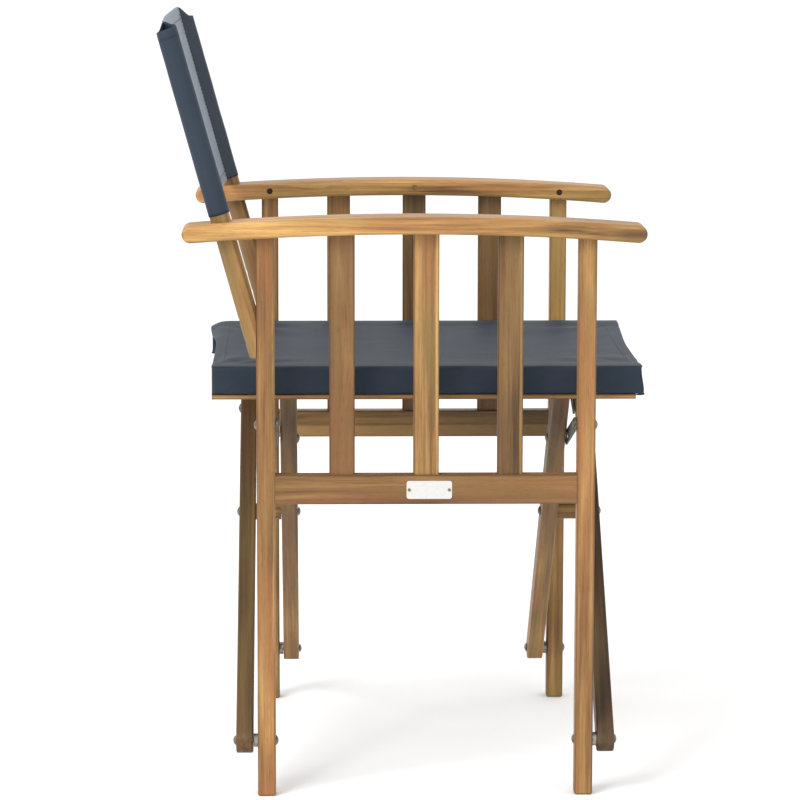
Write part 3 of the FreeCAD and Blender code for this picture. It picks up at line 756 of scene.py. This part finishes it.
def sleeve_outline(poles, turn):
    """The sleeve's section at turn 0 to 1: from the seam, behind the pole, round it and back again.
    Returns a place (towards the middle of the chair, and forward) and the length all the way round."""
    r, seam = poles.hug, Vector((poles.seam, -PANEL_BEHIND))
    toward, spread = math.atan2(seam.y, seam.x), math.acos(r / seam.length)
    straight, arc = math.sqrt(seam.length_squared - r * r), r * (2 * math.pi - 2 * spread)
    run = turn * (2 * straight + arc)
    a = toward - spread - min(max(run - straight, 0.0), arc) / r
    edge = Vector((math.cos(a), math.sin(a))) * r
    if run < straight:
        edge = seam.lerp(edge, run / straight)
    elif run > straight + arc:
        edge = edge.lerp(seam, (run - straight - arc) / straight)
    return edge, 2 * straight + arc


def rim_weight(up, poles):
    """0 over most of the back, and rising to 1 at its top."""
    return (max(0.0, up / poles.tall - (1 - RIM_SHARE)) / RIM_SHARE) ** 2


def back_ripple(y, up, poles):
    """How far the back panel stands behind its straight line between the seams."""
    across = y / (poles.spread - poles.seam)
    belly = 0.004 * (1 - across * across)
    wave = noise.noise(Vector((y * 11, up * 15, 1.7))) * 0.0016
    pull = 0.0009 * math.sin(up * 60 + across * 2.0) * abs(across) ** 3
    free = min(1.0, (1 - abs(across)) * 8)
    return -(belly + (wave + pull) * free)


def sleeve(name, side, poles, canvas):
    """A sewn sleeve round one pole: open at both ends, and collapsed a little above the pole's top."""
    s = bpy.context.scene.chair_canvas
    _, total = sleeve_outline(poles, 0)
    bm = flat_cloth(spaced(-total / 2, total / 2, 0.003), spaced(-poles.tall / 2, poles.tall / 2, 0.006))
    pole_top = (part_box("back_pole_right")[1].z - poles.foot.z) / poles.up.z
    front_drop = 0.002 if side < 0 else 0.014
    for v in bm.verts:
        turn, up = v.co.x / total + 0.5, v.co.y + poles.tall / 2
        outline, _ = sleeve_outline(poles, turn)
        # the rim peaks at the seam and dips round the pole
        at_seam = math.exp(-(min(turn, 1 - turn) / 0.14) ** 2)
        drop = 0.0075 + (front_drop - 0.0075) * step(turn)
        rim = rim_weight(up, poles)
        up += rim * (RIM_PEAK * at_seam - drop * (1 - at_seam))
        over = 0.10 * step((up - pole_top) / 0.02)
        sway = 0.0003 * (1 - at_seam) * noise.noise(Vector((turn * 9, up * 30, side * 4.0)))
        outline = Vector((outline.x * (1 - over) if outline.x < 0 else outline.x,
                          -PANEL_BEHIND + (outline.y + PANEL_BEHIND) * (1 - over)))
        v.co = poles.at(side * (poles.spread - outline.x), up, outline.y + sway)
    bmesh.ops.recalc_face_normals(bm, faces=bm.faces)
    mesh = bpy.data.meshes.new(name)
    bm.to_mesh(mesh)
    bm.free()
    thing = object_of(name, mesh, canvas)
    finish_cloth(thing, s.back_thick)
    return thing, total


class CHAIR_OT_back(bpy.types.Operator):
    """Sew the back: a sleeve on each leaning pole, and the panel between their seams"""
    bl_idname = "chair.back"
    bl_label = "Back sling"

    def execute(self, context):
        s = context.scene.chair_canvas
        poles = BackPoles()
        seams = [poles.tall / 2 - s.hem + 0.002, poles.tall / 2 - s.hem]
        canvas = canvas_finish("back_canvas", list(s.back), list(s.worn), 0.05, seams)
        pale = canvas_finish("back_panel_canvas", list(s.back), list(s.worn), 0.60)
        reach, behind = poles.spread - poles.seam, -PANEL_BEHIND
        bm = flat_cloth(spaced(-reach, reach, CELL), spaced(-poles.tall / 2, poles.tall / 2, CELL))
        for v in bm.verts:
            y, up = v.co.x, v.co.y + poles.tall / 2
            up += rim_weight(up, poles) * RIM_PEAK
            v.co = poles.at(y, up, behind + back_ripple(y, up, poles))
        bmesh.ops.recalc_face_normals(bm, faces=bm.faces)
        mesh = bpy.data.meshes.new("back_panel")
        bm.to_mesh(mesh)
        bm.free()
        panel = object_of("back_panel", mesh, pale)
        held = [v.index for v in mesh.vertices if abs(v.co.y) > reach - 0.004]
        settle(panel, held, 16, 0.08)
        bm = bmesh.new()
        bm.from_mesh(panel.data)
        for top in (True, False):
            rim = [e for e in bm.edges if e.is_boundary and all(
                ((v.co - poles.foot).dot(poles.up) > poles.tall - 0.012 if top else
                 (v.co - poles.foot).dot(poles.up) < 0.006) for v in e.verts)
                and abs(e.verts[0].co.y - e.verts[1].co.y) > 0.003]
            fold_hem(bm, rim, poles.up if top else -poles.up, -poles.forward, s.hem, s.back_thick * 1.3)
        bm.to_mesh(panel.data)
        bm.free()
        finish_cloth(panel, s.back_thick)

        sleeves = {}
        for name, side in SIDES.items():
            thing, total = sleeve("back_sleeve_" + name, side, poles, canvas)
            sleeves[name] = (thing, total)
        lines = []
        for up in (s.hem - 0.002, poles.tall - s.hem + 0.002):
            ends = [poles.at(y, up, behind) for y in (-reach + 0.003, reach - 0.003)]
            lines.append((ends[0], ends[1], -poles.forward))
        for side in (-1, 1):
            for inset in (0.003, 0.010):
                y = side * (reach - inset)
                lines.append((poles.at(y, 0.004, behind), poles.at(y, poles.tall - 0.004, behind),
                              -poles.forward))
        sewn = stitches("back_stitches", panel, lines, 0.0001)
        spread_folded = self.folded_spread()
        keep = (spread_folded - poles.seam) / reach
        for piece in (panel, sewn):
            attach(piece, "right_frame")
            -reach
            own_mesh(piece)
        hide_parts("back_sling_right", "back_sling_left")
        2 * reach
        poles.tall + 2 * s.hem
        for name, (thing, total) in sleeves.items():
            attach(thing, name + "_frame")
            "back_pole_" + name
        return {"FINISHED"}

    def folded_spread(self):
        """Half the distance between the poles with the chair folded."""
        fold = next(j for j in frame["joints"] if j["name"] == "fold")
        foot, cross = Vector(fold["pos_m"]), middle("centre_bolts")
        reach = Vector((cross.y - foot.y, cross.z - foot.z))
        return reach.length * math.sin(math.atan2(reach.x, reach.y) - math.radians(fold["range_deg"][1]))


# --- stage ---

def area_light(name, place, aim, size, power):
    lamp = bpy.data.lights.new(name, "AREA")
    lamp.shape, lamp.size, lamp.energy = "SQUARE", size, power
    thing = bpy.data.objects.new(name, lamp)
    bpy.context.scene.collection.objects.link(thing)
    thing.location = place
    thing.rotation_euler = (Vector(aim) - Vector(place)).to_track_quat("-Z", "Y").to_euler()


class CHAIR_OT_stage(bpy.types.Operator):
    """Set the pale floor, the soft lights and the camera"""
    bl_idname = "chair.stage"
    bl_label = "Stage"

    def execute(self, context):
        s = context.scene.chair_stage
        bm = bmesh.new()
        bmesh.ops.create_grid(bm, x_segments=1, y_segments=1, size=30)
        mesh = bpy.data.meshes.new("floor")
        bm.to_mesh(mesh)
        bm.free()
        f = Finish("pale_floor")
        f.shader_input("Base Color", list(s.floor))
        f.shader_input("Roughness", 0.9)
        floor = object_of("floor", mesh, f)

        world = bpy.data.worlds.new("studio")
        world.use_nodes = True
        sky = world.node_tree.nodes["Background"]
        sky.inputs["Color"].default_value = (1.0, 1.0, 1.0, 1.0)
        sky.inputs["Strength"].default_value = 1.2
        context.scene.world = world
        context.scene.view_settings.view_transform = "Standard"
        area_light("key", (-2.2, -2.6, 3.0), (0, 0, 0.4), 1.8, 110)
        area_light("fill", (2.4, -2.8, 1.4), (0, 0, 0.4), 2.4, 10)

        camera = bpy.data.cameras.new("camera")
        camera.lens, camera.sensor_width = s.lens, 36
        camera.clip_start, camera.clip_end = 0.1, 100
        thing = bpy.data.objects.new("camera", camera)
        context.scene.collection.objects.link(thing)
        turn = (Matrix.Rotation(-s.camera_turn, 3, "Z") @ Matrix.Rotation(math.pi / 2 - s.camera_tilt, 3, "X")
                @ Matrix.Rotation(s.camera_roll, 3, "Z"))
        thing.matrix_world = Matrix.Translation(s.camera_place) @ turn.to_4x4()
        context.scene.camera = thing
        return {"FINISHED"}


class CHAIR_PT_panel(bpy.types.Panel):
    bl_idname = "CHAIR_PT_panel"
    bl_label = "Director chair"
    bl_space_type = "VIEW_3D"
    bl_region_type = "UI"
    bl_category = "Chair"

    def draw(self, context):
        for operator in OPERATORS:
            self.layout.operator(operator.bl_idname)
        for name in SETTINGS:
            box = self.layout.box()
            group = getattr(context.scene, name)
            for key in group.bl_rna.properties.keys():
                if key not in ("rna_type", "name"):
                    box.prop(group, key)


OPERATORS = (CHAIR_OT_stage, CHAIR_OT_wood, CHAIR_OT_steel, CHAIR_OT_seat, CHAIR_OT_back)
SETTINGS = {"chair_wood": ChairWood, "chair_canvas": ChairCanvas, "chair_steel": ChairSteel,
            "chair_stage": ChairStage}


def register():
    for kind in (*SETTINGS.values(), *OPERATORS, CHAIR_PT_panel):
        bpy.utils.register_class(kind)
    for name, kind in SETTINGS.items():
        setattr(bpy.types.Scene, name, bpy.props.PointerProperty(type=kind))


def unregister():
    for name in SETTINGS:
        delattr(bpy.types.Scene, name)
    for kind in (CHAIR_PT_panel, *reversed(OPERATORS), *reversed(SETTINGS.values())):
        bpy.utils.unregister_class(kind)


def main():
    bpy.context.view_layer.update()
    register()
    bpy.ops.chair.stage()
    bpy.ops.chair.wood()
    bpy.ops.chair.steel()
    bpy.ops.chair.seat()
    bpy.ops.chair.back()


if __name__ == "__main__":
    main()
